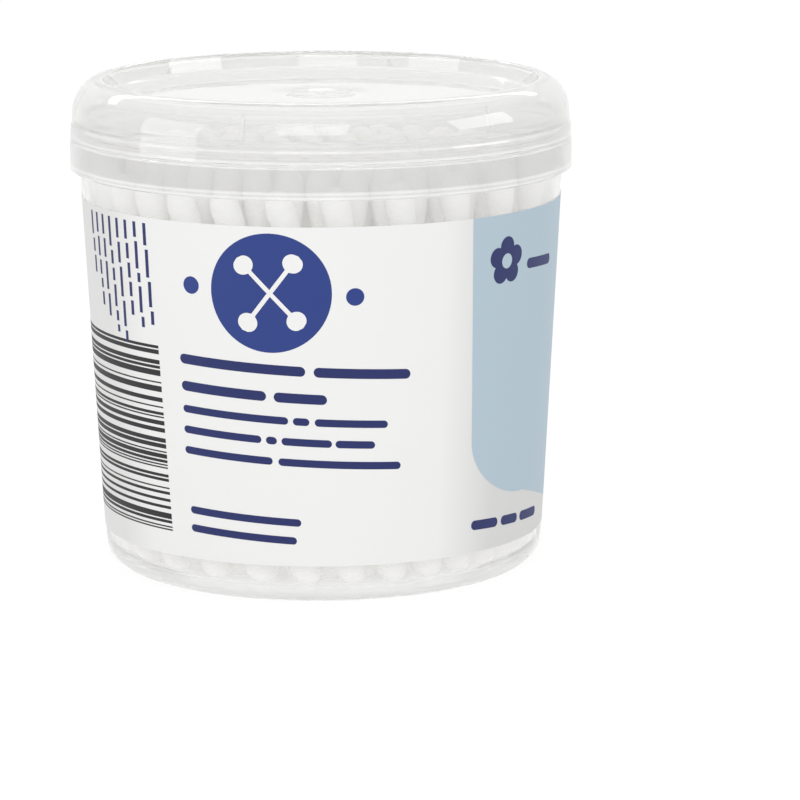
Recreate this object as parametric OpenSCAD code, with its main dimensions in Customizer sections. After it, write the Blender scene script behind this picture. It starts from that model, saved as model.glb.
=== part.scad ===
/* [Swabs] */
// Length of a swab over both cotton tips
swab_len = 72; // [60:0.5:80]
// Diameter of the paper stick
stick_d = 2.35; // [1.8:0.05:2.6]
// Widest diameter of a cotton tip
tip_d = 5; // [4.4:0.1:5.4]
// Length of a cotton tip
tip_len = 13.5; // [9:0.5:18]
// Distance from the end of a swab to the widest place of its cotton
tip_widest = 4; // [3:0.5:6]
// Diameter of the blunt end of a cotton tip
nose_d = 1.8; // [1:0.1:2.6]
// Cotton beyond the end of the stick
tip_cap = 1.5; // [0.8:0.1:3]
// Thickness of the cotton where it runs out on the stick
feather_t = 0.15; // [0.1:0.05:0.4]
// Clearance between the cotton and the stick
stick_fit = 0.02; // [0.01:0.01:0.05]

/* [Filling] */
// Smallest gap between two cotton tips that stand side by side
tip_gap = 0.12; // [0.1:0.02:0.3]
// Gap between the outer row of cotton tips and the wall of the tub
wall_gap = 0.15; // [0.1:0.05:0.6]
// Gap under the lowest point of each swab
floor_gap = 0.1; // [0.05:0.05:0.3]
// Spacing of the outer row, as a multiple of the closest spacing
outer_spacing = 1.46; // [1.15:0.01:1.5]
// Extra gap between the outer row and the next one, for the lean of the outer row
sway_room = 0.4; // [0.3:0.1:1]
// Spacing of the other rows, as a multiple of the closest spacing
inner_spacing = 1.03; // [1.02:0.01:1.2]
// Share of the free space in a row that its swabs sway through
sway_share = 0.9; // [0:0.02:0.9]
// Share of the free space in a row that each swab strays by itself
stray_share = 0.1; // [0:0.02:0.12]
// Turn of the second row's upper ends, which grows and changes side from row to row
row_twist = 3.2; // [0:0.2:4]

/* [Tub] */
// Outer radius that the wall has when drawn down to the supporting surface
tub_r = 38.4; // [36:0.2:46]
// Draft angle of the wall
draft = 3.1; // [1:0.1:4.5]
// Thickness of the wall
tub_wall = 1; // [0.6:0.1:1.6]
// Thickness of the floor
floor_t = 1.2; // [0.8:0.1:2]
// Height of the foot ring under the floor
foot_h = 0.8; // [0.4:0.1:2]
// Width of the foot ring
foot_w = 2.5; // [1.5:0.1:5]
// Outer radius of the rounded corner under the wall
corner_r = 4.5; // [3.5:0.5:6]
// Height of the rim above the tallest swab
rim_headroom = 6; // [2:0.5:12]
// Chamfer on the inner edge of the rim
rim_chamfer = 0.2; // [0.1:0.05:0.3]
// Height of the taper that leads the lid over the rim
lead_h = 1.5; // [1.2:0.1:2.2]
// How far the rim is tapered in
lead_in = 0.45; // [0.2:0.05:0.5]
// Distance from the rim down to the snap bead
bead_drop = 3; // [2.4:0.1:3.2]
// Height of the snap bead above the wall
bead_out = 0.2; // [0.1:0.05:0.3]
// Radius of the snap bead's section
bead_r = 0.4; // [0.3:0.05:0.5]
// Radius of the sprue mark under the floor
sprue_r = 0.7; // [0.4:0.1:1.5]
// Height of the sprue marks on the tub and the lid
sprue_h = 0.3; // [0.1:0.1:0.4]

/* [Lid] */
// Thickness of the lid's shoulder and of the wall of its recess
lid_wall = 0.8; // [0.6:0.1:1.4]
// Thickness of the lid's panel
panel_t = 1; // [0.6:0.1:1.6]
// Clearance between the lid's snap ring and what passes through it
snap_clear = 0.1; // [0.05:0.05:0.2]
// Height of the snap ring above the inside of the skirt
snap_in = 0.23; // [0.15:0.01:0.35]
// Distance from the rim of the tub down to the snap ring
snap_drop = 4.1; // [3.8:0.1:6]
// Distance from the rim of the tub down to the lower edge of the skirt
skirt_drop = 9.8; // [7:0.2:14]
// Bevel on the lower edge of the skirt
skirt_bevel = 0.5; // [0.2:0.1:0.6]
// How much narrower the skirt is at its upper end
skirt_taper = 0.25; // [0:0.05:0.4]
// Distance from the rim of the tub down to the step round the skirt
step_drop = 1.8; // [1.2:0.1:2.2]
// Depth of the step round the skirt
step_in = 0.15; // [0.1:0.05:0.3]
// How much narrower the lid is between that step and its shoulder
step_flare = 0.1; // [0:0.05:0.3]
// Distance from the rim of the tub down to the step inside the skirt
inner_step_drop = 0.9; // [0.5:0.1:1.2]
// Radial width of the rounded shoulder
shoulder_w = 5; // [4:0.5:8]
// Height of the rounded shoulder
shoulder_h = 6.15; // [5:0.05:9]
// Depth of the recess inside the stacking rim
recess_depth = 3; // [1:0.2:3.6]
// Slope of the wall of the recess, as a radial distance
recess_slope = 0.6; // [0.2:0.1:1.5]
// Rounding of the edges of the recess
recess_round = 0.4; // [0.2:0.1:0.6]
// Number of stop ribs that rest on the rim
stop_ribs = 6; // [3:1:12]
// Thickness of a stop rib
rib_t = 0.7; // [0.5:0.1:1.5]
// Direction of the first stop rib, from the right side of the tub
rib_start = 12; // [0:1:59]
// Radius of the shallow gate mark in the middle of the lid
gate_r = 5.2; // [3:0.2:8]
// Depth of the gate mark
gate_depth = 0.25; // [0.1:0.05:0.4]
// How far a stop rib reaches past the inner edge of the rim
rib_reach = 0.2; // [0.1:0.1:0.6]
// Distance by which the lid's inside stays clear of the rim's side
rim_clear = 0.2; // [0.1:0.05:0.4]
// Distance from the rim of the tub down to the lower edge of the shoulder
shoulder_drop = 0.15; // [0:0.05:0.4]

/* [Label] */
// Thickness of the label
label_t = 0.1; // [0.05:0.05:0.3]
// Gap between the label and the wall, filled by its glue
label_gap = 0.02; // [0.01:0.01:0.05]
// Height of the label's lower edge
label_low = 7; // [5.5:0.5:20]
// Clear band between the label and the skirt of the lid
label_band = 4.6; // [1:0.2:15]
// Width of the overlap where the label's ends meet
overlap_w = 6; // [3:0.5:12]

/* [Hidden] */
round_fn = 180;
tip_fn = 32;

// Heights, from the supporting surface up
floor_z = foot_h + floor_t;
rim_z = floor_z + swab_len + rim_headroom;
skirt_z = rim_z - skirt_drop;
step_z = rim_z - step_drop;
shoulder_z = rim_z - shoulder_drop;
crest_z = shoulder_z + shoulder_h;
panel_z = crest_z - recess_depth;

// Outer radius of the tub's wall at height z
function tub_out(z) = tub_r + z * tan(draft);

// Inner radius of the tub's wall at height z
function tub_in(z) = tub_out(z) - tub_wall;

// Outer radius of the rim at a distance below its top, with the taper taken off
function rim_out(drop) = tub_out(rim_z - drop) - lead_in * max(0, 1 - drop / lead_h);

// Middle of a corner of radius r that touches the height z and a wall of radius r0 at z = 0
function corner_mid(r0, r, z) = [r0 + (z + r) * tan(draft) - r / cos(draft), z + r];

// Points of that corner, from below outwards and up
function corner_arc(mid, r) = [for (t = [0:1:8]) let (a = -90 + (90 - draft) * t / 8)
  mid + r * [cos(a), sin(a)]];

inner_r = corner_r - tub_wall;
outer_mid = corner_mid(tub_r, corner_r, 0);
inner_mid = corner_mid(tub_r - tub_wall, inner_r, floor_z);
foot_in = outer_mid[0] - foot_w;

// Inner radius of the tub at height h above its floor, corner included
function room_at(h) = h < inner_r
  ? inner_mid[0] + sqrt(inner_r * inner_r - pow(inner_r - h, 2))
  : tub_in(floor_z + h);

module tub() {
  color("#dfe4e6", 0.45) {
    rotate_extrude($fn = round_fn)
      polygon(concat(
        [[0, foot_h], [foot_in, foot_h], [foot_in, 0]],
        corner_arc(outer_mid, corner_r),
        [
          [rim_out(lead_h), rim_z - lead_h],
          [rim_out(0), rim_z],
          [tub_in(rim_z) + rim_chamfer, rim_z],
          [tub_in(rim_z - rim_chamfer), rim_z - rim_chamfer]
        ],
        reverse(corner_arc(inner_mid, inner_r)),
        [[0, floor_z]]
      ));
    bead_ring(tub_out(rim_z - bead_drop) + bead_out - bead_r, rim_z - bead_drop, bead_r);
    translate([0, 0, foot_h - sprue_h])
      cylinder(r = sprue_r, h = sprue_h + floor_t / 2, $fn = 32);
  }
}

// A ring of round section whose middle runs at radius r and height z
module bead_ring(r, z, section_r) {
  rotate_extrude($fn = round_fn)
    translate([r, z])
      circle(r = section_r, $fn = 32);
}

function reverse(list) = [for (i = [len(list) - 1:-1:0]) list[i]];

// Radii of the lid, from its snap ring outwards
snap_r = max(tub_out(rim_z), tub_out(rim_z - bead_drop) + bead_out) + snap_clear;
skirt_in = snap_r + snap_in;
shoulder_in = rim_out(inner_step_drop) + rim_clear;
shoulder_r = shoulder_in + lid_wall;
step_r = shoulder_r + step_flare;
skirt_out = step_r + step_in + skirt_taper;
crest_r = shoulder_r - shoulder_w;
recess_r = crest_r - recess_round;
recess_foot = recess_r - recess_slope;
snap_ring_r = 0.35;

// Point of the shoulder's quarter ellipse, at angle a and depth t under its surface
function shoulder_at(a, t) = [
  crest_r + (shoulder_w - t) * cos(a),
  shoulder_z + (shoulder_h - t) * sin(a)
];

// Height of the shoulder's underside at radius r
function under_shoulder(r) = shoulder_z
  + (shoulder_h - lid_wall) * sqrt(1 - pow((r - crest_r) / (shoulder_w - lid_wall), 2));

cavity_r = recess_r + lid_wall;

module lid() {
  color("#e6eaec", 0.4) {
    difference() {
      rotate_extrude($fn = round_fn)
        polygon(concat(lid_outside(), lid_inside()));
      gate_mark();
    }
    bead_ring(skirt_in + snap_ring_r - snap_in, rim_z - snap_drop, snap_ring_r);
    translate([0, 0, panel_z - panel_t / 2])
      cylinder(r = sprue_r, h = panel_t / 2 - gate_depth + sprue_h, $fn = 32);
    for (i = [0:stop_ribs - 1])
      rotate([0, 0, rib_start + i * 360 / stop_ribs])
        stop_rib();
  }
}

// Outline of the lid from the lower edge of its skirt over the shoulder to the middle
function lid_outside() = concat(
  [
    [skirt_out - skirt_bevel, skirt_z],
    [skirt_out, skirt_z + skirt_bevel * 1.4],
    [step_r + step_in, step_z],
    [step_r, step_z + step_in]
  ],
  [for (a = [0:7.5:90]) shoulder_at(a, 0)],
  [for (a = [30:30:90]) [crest_r - recess_round * sin(a), crest_z - recess_round * (1 - cos(a))]],
  [for (a = [0:30:90]) [
    recess_foot - recess_round * (1 - cos(a)),
    panel_z + recess_round * (1 - sin(a))
  ]],
  [[0, panel_z]]
);

// Outline of the lid's inside, from the middle of the panel back to the skirt
function lid_inside() = concat(
  [
    [0, panel_z - panel_t],
    [recess_foot + lid_wall - recess_round, panel_z - panel_t],
    [recess_foot + lid_wall, panel_z - panel_t + recess_round],
    [cavity_r, under_shoulder(cavity_r) - recess_round]
  ],
  [for (a = [75:-7.5:0]) shoulder_at(a, lid_wall)],
  [
    [shoulder_in, rim_z - inner_step_drop],
    [skirt_in, rim_z - inner_step_drop - skirt_in + shoulder_in],
    [skirt_in, skirt_z]
  ]
);

// Shallow round mark of the gate in the middle of the panel
module gate_mark() {
  translate([0, 0, panel_z - gate_depth])
    cylinder(r = gate_r, h = 2 * gate_depth, $fn = 64);
}

// Thin upright rib under the shoulder, which rests on the rim of the tub
module stop_rib() {
  rib_in = tub_in(rim_z) - rib_reach;
  translate([0, rib_t / 2, 0])
    rotate([90, 0, 0])
      linear_extrude(rib_t)
        polygon(concat(
          [[rib_in, rim_z], [shoulder_r - lid_wall / 2, rim_z]],
          [for (a = [7.5:7.5:52.5]) shoulder_at(a, lid_wall / 2)],
          [[rib_in, under_shoulder(rib_in) - lid_wall]]
        ));
}

label_top = skirt_z - label_band;

module label() {
  color("#efefef") {
    label_sleeve(label_gap, label_t);
    intersection() {
      label_sleeve(label_gap + label_t / 2, label_t * 1.5);
      translate([-overlap_w / 2, 0, 0])
        cube([overlap_w, 2 * tub_r, rim_z]);
    }
  }
}

// Film of thickness t round the wall, a distance off it
module label_sleeve(off, t) {
  rotate_extrude($fn = round_fn)
    polygon([
      [tub_out(label_low) + off, label_low],
      [tub_out(label_low) + off + t, label_low],
      [tub_out(label_top) + off + t, label_top],
      [tub_out(label_top) + off, label_top]
    ]);
}

// Radius of a cotton tip at a distance s from its end
function tip_at(s) = s < tip_widest
  ? nose_d / 2 + (tip_d - nose_d) / 2 * sqrt(1 - pow(1 - s / tip_widest, 2))
  : feather_d / 2 + (tip_d - feather_d) / 4
    * (1 + cos(180 * (s - tip_widest) / (tip_len - tip_widest)));

feather_d = stick_d + 2 * stick_fit + 2 * feather_t;

// Rows of swabs, counted from the wall inwards, as many as there is room for
pitch = tip_d + tip_gap;
low_row_r = min([for (s = [0:0.25:tip_widest]) room_at(s + floor_gap) - tip_at(s)]) - wall_gap;
high_row_r = tub_in(floor_z + swab_len - tip_widest) - tip_d / 2 - 2 * wall_gap;
last_row = 1 + floor((low_row_r - sway_room) / pitch);
inner_rows = [5:last_row];

// Radius of a row at the lower and at the upper ends of its swabs
function low_r(row) = low_row_r - (row - 1) * pitch - (row > 1 ? sway_room : 0);
function high_r(row) = low_r(row) * high_row_r / low_row_r;

// Largest number of swabs that stand at a spacing in a row of radius r
function row_count(r, spacing) = 2 * r <= spacing ? 1 : floor(180 / asin(spacing / (2 * r)));
function swabs_in(row) = row_count(low_r(row), pitch * (row == 1 ? outer_spacing : inner_spacing));

// Share of a row's length that is free at its lower and at its upper ends
function free_at(row, r) = swabs_in(row) < 3
  ? 0
  : max(0, 1 - pitch * inner_spacing / (2 * r * sin(180 / swabs_in(row))));

// Angles to which a swab's even place in its row is shifted below and above
function even_at(row, i) = 360 * (i + (row % 2) / 2) / swabs_in(row);
function wave_at(row, i) = sin(even_at(row, i) - sway_from - (row - 1) * 110);
function low_angle(row, i) = even_at(row, i)
  - sway_share * free_at(row, low_r(row)) * wave_at(row, i) * 180 / PI;
function high_angle(row, i) = even_at(row, i) + twist_of(row)
  + sway_share * free_at(row, high_r(row)) * wave_at(row, i) * 180 / PI
  + stray_share * free_at(row, high_r(row)) * sin(222 * i + 75 * row) * 360 / swabs_in(row);
function twist_of(row) = row_twist * (row - 1) * (row % 2 == 0 ? -1 : 1);
sway_from = 345;

// Puts its children on a swab's axis, with the swab's lower end at their origin
module on_swab(row, i) {
  low = low_r(row) * [cos(low_angle(row, i)), sin(low_angle(row, i))];
  high = high_r(row) * [cos(high_angle(row, i)), sin(high_angle(row, i))];
  lean = asin(norm(high - low) / swab_len);
  heading = atan2(high[1] - low[1], high[0] - low[0]);
  translate([low[0], low[1], floor_z + floor_gap + nose_d / 2 * sin(lean)])
    rotate([0, lean, heading])
      children();
}

module swab_sticks(rows) {
  color("#f2f1ec")
    for (row = rows, i = [0:swabs_in(row) - 1])
      on_swab(row, i)
        translate([0, 0, tip_cap])
          cylinder(d = stick_d, h = swab_len - 2 * tip_cap, $fn = tip_fn);
}

module lower_cotton_tips(rows) {
  color("#f7f7f4")
    for (row = rows, i = [0:swabs_in(row) - 1])
      on_swab(row, i)
        cotton_tip();
}

module upper_cotton_tips(rows) {
  color("#f7f7f4")
    for (row = rows, i = [0:swabs_in(row) - 1])
      on_swab(row, i)
        translate([0, 0, swab_len])
          mirror([0, 0, 1])
            cotton_tip();
}

// Cotton wound on the end of a stick, with the end of the swab at z = 0
module cotton_tip() {
  bore_r = stick_d / 2 + stick_fit;
  rotate_extrude($fn = tip_fn)
    polygon(concat(
      [[0, 0]],
      [for (a = [0:15:75]) let (s = tip_widest * (1 - cos(a))) [tip_at(s), s]],
      [for (t = [0:0.2:1]) let (s = tip_widest + (tip_len - tip_widest) * t) [tip_at(s), s]],
      [[bore_r, tip_len], [bore_r, tip_cap - stick_fit], [0, tip_cap - stick_fit]]
    ));
}

tub();
lid();
label();
swab_sticks([1]);  // swab_sticks_row_1
lower_cotton_tips([1]);  // lower_cotton_tips_row_1
upper_cotton_tips([1]);  // upper_cotton_tips_row_1
swab_sticks([2]);  // swab_sticks_row_2
lower_cotton_tips([2]);  // lower_cotton_tips_row_2
upper_cotton_tips([2]);  // upper_cotton_tips_row_2
swab_sticks([3]);  // swab_sticks_row_3
lower_cotton_tips([3]);  // lower_cotton_tips_row_3
upper_cotton_tips([3]);  // upper_cotton_tips_row_3
swab_sticks([4]);  // swab_sticks_row_4
lower_cotton_tips([4]);  // lower_cotton_tips_row_4
upper_cotton_tips([4]);  // upper_cotton_tips_row_4
swab_sticks(inner_rows);  // swab_sticks_inner_rows
lower_cotton_tips(inner_rows);  // lower_cotton_tips_inner_rows
upper_cotton_tips(inner_rows);  // upper_cotton_tips_inner_rows
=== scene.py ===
# %% [markdown]
# A tub of cotton swabs. The real one is a thin pot and a lid of clear polypropylene,
# a wrapped paper label, and swabs that stand inside with their cotton tips showing
# through the clear bands above and below the label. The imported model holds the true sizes.
# This script dresses it: it builds each piece again as a smooth surface in the same
# place, gives it the finish of its real material, and lights it like a studio shot.

# %% Load the fixed frame
import bpy
import numpy as np
from math import asin, cos, degrees, floor, pi, radians, sin, sqrt, tan
from mathutils import Matrix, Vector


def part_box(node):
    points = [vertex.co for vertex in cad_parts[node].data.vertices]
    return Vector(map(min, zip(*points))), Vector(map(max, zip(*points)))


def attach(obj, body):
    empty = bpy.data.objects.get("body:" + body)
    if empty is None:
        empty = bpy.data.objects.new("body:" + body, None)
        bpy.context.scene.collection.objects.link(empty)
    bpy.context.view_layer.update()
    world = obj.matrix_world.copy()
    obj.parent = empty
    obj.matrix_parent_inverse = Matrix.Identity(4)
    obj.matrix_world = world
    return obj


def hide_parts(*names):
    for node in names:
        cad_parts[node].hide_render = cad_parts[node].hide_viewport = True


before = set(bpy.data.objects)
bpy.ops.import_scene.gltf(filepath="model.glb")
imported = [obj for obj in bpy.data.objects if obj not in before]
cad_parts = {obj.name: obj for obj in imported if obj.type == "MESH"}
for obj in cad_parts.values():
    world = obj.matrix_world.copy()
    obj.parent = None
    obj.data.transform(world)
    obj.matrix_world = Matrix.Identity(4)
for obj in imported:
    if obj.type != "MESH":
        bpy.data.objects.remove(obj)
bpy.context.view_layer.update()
TUB, LID = "tub_body", "lid_body"
MM = 0.001

# %% [markdown]
# Sizes are kept in millimetres, the unit in which such a pot is drawn. They come from
# the frame where it gives them, and the rest repeat the drawing: wall and draft of the
# pot, the shoulder of the lid, the swab. Everything below is worked out from these.

# %% Name the sizes
rim_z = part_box("tub")[1].z / MM
crest_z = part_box("lid")[1].z / MM
skirt_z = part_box("lid")[0].z / MM
label_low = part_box("label")[0].z / MM
label_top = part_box("label")[1].z / MM

tub_r, draft, tub_wall = 38.4, radians(3.1), 1.0
foot_h, floor_z, foot_w, corner_r = 0.8, 2.0, 2.5, 4.5
rim_chamfer, lead_h, lead_in = 0.2, 1.5, 0.45
bead_drop, bead_out, bead_r = 3.0, 0.2, 0.4
print("rim at", round(rim_z, 2), "skirt from", round(skirt_z, 2), "to", round(crest_z, 2))
print("label from", round(label_low, 2), "to", round(label_top, 2))


def tub_out(z):
    """Outer radius of the pot: it grows evenly with height, by the tangent of the draft."""
    return tub_r + z * tan(draft)


# %% [markdown]
# A few helpers carry the whole scene. The first turns a colour written as a web hex
# value into the linear numbers that Blender computes with. The second adds a node with
# its settings and links in one call. The others make a colour that goes in steps with a
# value, tell one kind of ray from another, and start an empty material.

# %% Helpers for colours and nodes
def linear(hex_colour):
    """sRGB hex to linear: divide by 12.92 near black, else the 2.4 power curve."""
    parts = [int(hex_colour[i:i + 2], 16) / 255 for i in (1, 3, 5)]
    return [c / 12.92 if c <= 0.04045 else ((c + 0.055) / 1.055) ** 2.4 for c in parts]


def add(tree, kind, settings=None, **sockets):
    """Adds a node. A socket value that is an output is linked, any other is set."""
    node = tree.nodes.new(kind)
    for name, value in (settings or {}).items():
        setattr(node, name, value)
    for name, value in sockets.items():
        key = int(name[1:]) if name[0] == "i" and name[1:].isdigit() else name.replace("_", " ")
        socket = node.inputs[key]
        if isinstance(value, bpy.types.NodeSocket):
            tree.links.new(value, socket)
        else:
            socket.default_value = value
    return node


def stepped(tree, value, steps):
    """A colour that goes in steps with a value. steps holds each step's value, colour and
    alpha, low to high."""
    low, high = steps[0][0], steps[-1][0]
    share = add(tree, "ShaderNodeMapRange", Value=value, From_Min=low, From_Max=high)
    ramp = add(tree, "ShaderNodeValToRGB", Fac=share.outputs["Result"])
    stops = ramp.color_ramp.elements
    while len(stops) < len(steps):
        stops.new(0.5)
    for stop, (at, colour, alpha) in zip(stops, steps):
        stop.position = (at - low) / (high - low)
        stop.color = (*linear(colour), alpha)
    return ramp


def ray_is(tree, *kinds):
    """1 for a ray of any of these kinds, else 0: the largest of the light path's flags."""
    path = add(tree, "ShaderNodeLightPath")
    flag = path.outputs[f"Is {kinds[0]} Ray"]
    for kind in kinds[1:]:
        either = add(tree, "ShaderNodeMath", {"operation": "MAXIMUM"},
                     i0=flag, i1=path.outputs[f"Is {kind} Ray"])
        flag = either.outputs["Value"]
    return flag


def material(name):
    """An empty node material, with its output node."""
    made = bpy.data.materials.new(name)
    made.use_nodes = True
    made.node_tree.nodes.clear()
    return made, made.node_tree, add(made.node_tree, "ShaderNodeOutputMaterial")


print("white is", linear("#ffffff")[0], "and a light grey is", round(linear("#efefef")[0], 3))

# %% [markdown]
# The camera stands three quarters of a metre off with a long lens, a little above the
# lid, as in a catalogue photograph. Its distance, height and tilt were worked out from
# the ellipses that the rim, the lid and the foot draw in the picture. Camera, lamps and
# floor are placed in metres.

# %% Place the camera
camera_back, camera_up = 0.7472, 0.1748
look_down, look_right, roll = radians(11.11), radians(1.05), radians(-0.19)
focal_px, picture_px, sensor_mm = 4288.7, 800, 36.0

lens_data = bpy.data.cameras.new("camera")
lens_data.sensor_width = sensor_mm
lens_data.lens = focal_px * sensor_mm / picture_px
lens_data.clip_start = 10 * MM
camera = bpy.data.objects.new("camera", lens_data)
turn = (Matrix.Rotation(-look_right, 4, "Z")
        @ Matrix.Rotation(pi / 2 - look_down, 4, "X")
        @ Matrix.Rotation(roll, 4, "Z"))
camera.matrix_world = Matrix.Translation((0, -camera_back, camera_up)) @ turn
bpy.context.scene.collection.objects.link(camera)
bpy.context.scene.camera = camera
bpy.context.scene.view_settings.view_transform = "Standard"
light_bounces, matt_bounces = 32, 12
cycles = bpy.context.scene.cycles
cycles.max_bounces = cycles.transmission_bounces = cycles.glossy_bounces = light_bounces
cycles.diffuse_bounces = matt_bounces
print("lens", round(lens_data.lens, 1), "mm")

# %% [markdown]
# A catalogue shot has a white sweep all round, which is what makes clear plastic look
# clear: every ray that gets through it ends on white. So the world is white to the
# camera and to rays that are mirrored or let through, and a little dimmer as a light.
# One softbox in front shapes the label. Three more are only seen mirrored: those at the
# sides draw the bright windows on the lid, and the one behind edges its panel with light.
# The helper for rays chooses between the two levels of the white.

# %% Light the studio
world_light, right_share, right_from = 0.91, 0.9, 0.3
white = (1, 1, 1, 1)


def build_world():
    """White where it is looked at, mirrored or seen through the plastic. As a light it is
    dimmer, and to the right its level falls evenly with the direction's X."""
    world = bpy.data.worlds.new("white_sweep")
    bpy.context.scene.world = world
    world.use_nodes = True
    tree = world.node_tree
    tree.nodes.clear()
    coords = add(tree, "ShaderNodeTexCoord")
    sides = add(tree, "ShaderNodeSeparateXYZ", Vector=coords.outputs["Object"])
    shade = add(tree, "ShaderNodeMapRange", Value=sides.outputs["X"], From_Min=right_from,
                From_Max=1.0, To_Min=world_light, To_Max=world_light * right_share)
    level = add(tree, "ShaderNodeMix", {"data_type": "FLOAT"},
                Factor=ray_is(tree, "Camera", "Glossy", "Transmission"),
                i2=shade.outputs["Result"], i3=1.0)
    sweep = add(tree, "ShaderNodeBackground", Color=white, Strength=level.outputs[0])
    return add(tree, "ShaderNodeOutputWorld", Surface=sweep.outputs["Background"])


def softbox(name, place, aim, width, height, watts, mirrored_only=False):
    """A rectangular area lamp at place that faces aim. One that is mirrored only sheds no
    light on matt things and isn't seen through the plastic."""
    data = bpy.data.lights.new(name, "AREA")
    data.shape, data.size, data.size_y, data.energy = "RECTANGLE", width, height, watts
    lamp = bpy.data.objects.new(name, data)
    towards = np.subtract(aim, place)
    back = -towards / np.linalg.norm(towards)
    side = np.cross((0, 0, 1), back)
    side /= np.linalg.norm(side)
    up = np.cross(back, side)
    rows = [[side[i], up[i], back[i], place[i]] for i in range(3)]
    lamp.matrix_world = Matrix(rows + [[0, 0, 0, 1]])
    lamp.visible_diffuse = not mirrored_only
    lamp.visible_transmission = not mirrored_only
    bpy.context.scene.collection.objects.link(lamp)
    return lamp


build_world()
lid_middle, tub_middle = (0, 0, 0.08), (0, 0, 0.04)
softbox("window_left", (-0.397, -0.137, 0.17), lid_middle,
        width=0.24, height=0.24, watts=0.34, mirrored_only=True)
softbox("window_right", (0.395, -0.075, 0.22), lid_middle,
        width=0.25, height=0.16, watts=0.38, mirrored_only=True)
softbox("window_behind", (-0.10, 0.71, 0.58), lid_middle,
        width=1.40, height=0.10, watts=1.3, mirrored_only=True)
softbox("key_front", (-0.05, -0.66, 0.42), tub_middle, width=0.40, height=0.40, watts=0.8)

# %% [markdown]
# The floor is a white sheet that runs far past the picture. It is lit from below like a
# photographer's light table, so part of its brightness is its own and it meets the white
# world without an edge. The rest is light that falls on it, so that it keeps the soft
# shadow under the tub. The camera sees more of the first part than the objects get.

# %% Lay the white floor
floor_half, floor_drop = 6.0, 0.05 * MM
as_light, as_seen = (0.38, 0.48), (0.22, 0.82)


def lit_sheet(tree, matt, glow):
    """A sheet that scatters the share matt of the light on it and adds the glow."""
    paper = add(tree, "ShaderNodeBsdfDiffuse", Color=(matt, matt, matt, 1))
    lift = add(tree, "ShaderNodeEmission", Color=white, Strength=glow)
    both = add(tree, "ShaderNodeAddShader", i0=paper.outputs["BSDF"], i1=lift.outputs["Emission"])
    return both.outputs["Shader"]


def build_floor():
    """A wide square, a hair's breadth under the foot, so that no two faces coincide. It
    has one pair of scatter and glow as a light and another as it is seen."""
    half, low = floor_half, -floor_drop
    mesh = bpy.data.meshes.new("floor")
    corners = [(-half, -half, low), (half, -half, low), (half, half, low), (-half, half, low)]
    mesh.from_pydata(corners, [], [(0, 1, 2, 3)])
    floor_sheet = bpy.data.objects.new("floor", mesh)
    bpy.context.scene.collection.objects.link(floor_sheet)
    look, tree, out = material("white_paper_sweep")
    mixed = add(tree, "ShaderNodeMixShader", Fac=ray_is(tree, "Camera", "Glossy", "Transmission"),
                i1=lit_sheet(tree, *as_light), i2=lit_sheet(tree, *as_seen))
    tree.links.new(mixed.outputs["Shader"], out.inputs["Surface"])
    mesh.materials.append(look)
    return floor_sheet


build_floor()
print("floor laid")

# %% [markdown]
# Clear polypropylene is injection moulded, glossy where the steel mould was polished,
# and always a little milky, because it crystallises as it cools. One glass-like shader
# does most of it: light goes through, bends by an index of 1.49 and blurs slightly. A
# share of plain white scatter is the milk. The lid has more of it than the wall of the
# pot, and the foot of the pot and the lid's panel have most. A faint grey tint by height
# is painted shade, for walls that overlap and let less light through, and its white lines
# are painted highlights on the lip and the steps of the skirt. A ripple too low to see by
# itself makes mirrored light waver, as moulded plastic does.

# %% Clear polypropylene for the pot and the lid
plastic_index, plastic_blur = 1.49, 0.03
ripple_mm, ripple_high, ripple_share = 11.11, 0.4, 0.006


def polypropylene(name, tints):
    """Glass-like to the eye, less the share of haze, and plainly see-through to light. Tint
    and haze go in steps of height: tints holds millimetres, colour and haze, low to high.
    The tint by height is painted shade, and its white steps are painted highlights."""
    look, tree, out = material(name)
    coords = add(tree, "ShaderNodeTexCoord")
    axes = add(tree, "ShaderNodeSeparateXYZ", Vector=coords.outputs["Object"])
    tint = stepped(tree, axes.outputs["Z"],
                   [(height * MM, colour, 1 - haze) for height, colour, haze in tints])
    flow = add(tree, "ShaderNodeTexNoise", Vector=coords.outputs["Object"],
               Scale=1 / (ripple_mm * MM), Detail=2.0)
    ripple = add(tree, "ShaderNodeBump", Strength=ripple_share, Distance=ripple_high * MM,
                 Height=flow.outputs["Fac"])
    plastic = add(tree, "ShaderNodeBsdfPrincipled", Base_Color=tint.outputs["Color"],
                  Roughness=plastic_blur, IOR=plastic_index,
                  Transmission_Weight=tint.outputs["Alpha"], Normal=ripple.outputs["Normal"])
    through = add(tree, "ShaderNodeBsdfTransparent", Color=white)
    both = add(tree, "ShaderNodeMixShader", Fac=ray_is(tree, "Shadow", "Diffuse"),
               i1=plastic.outputs["BSDF"], i2=through.outputs["BSDF"])
    tree.links.new(both.outputs["Shader"], out.inputs["Surface"])
    return look


# Painted shade and painted highlights: grey steps darken the skirt and shoulder, white steps light
# the lip and the skirt's steps.
lid_painted_shade_and_highlights = [(70.0, "#ebebea"), (70.7, "#ffffff"), (71.0, "#eeeeed"), (71.4, "#ffffff"),
             (71.8, "#e5e5e4"), (75.3, "#e5e5e4"), (75.6, "#ffffff"), (75.9, "#ededec"),
             (76.4, "#ffffff"), (76.8, "#ededec"), (78.0, "#eeeeed"), (78.2, "#ffffff"),
             (78.6, "#ededec"), (80.5, "#f3f3f2"), (86.0, "#f9f9f8")]
lid_haze = 0.24
lid_painted_shade_and_highlights = [(height, colour, lid_haze) for height, colour in lid_painted_shade_and_highlights]
panel_tints = [(80.0, "#fcfcfb", 0.45), (86.0, "#fcfcfb", 0.45)]
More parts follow.
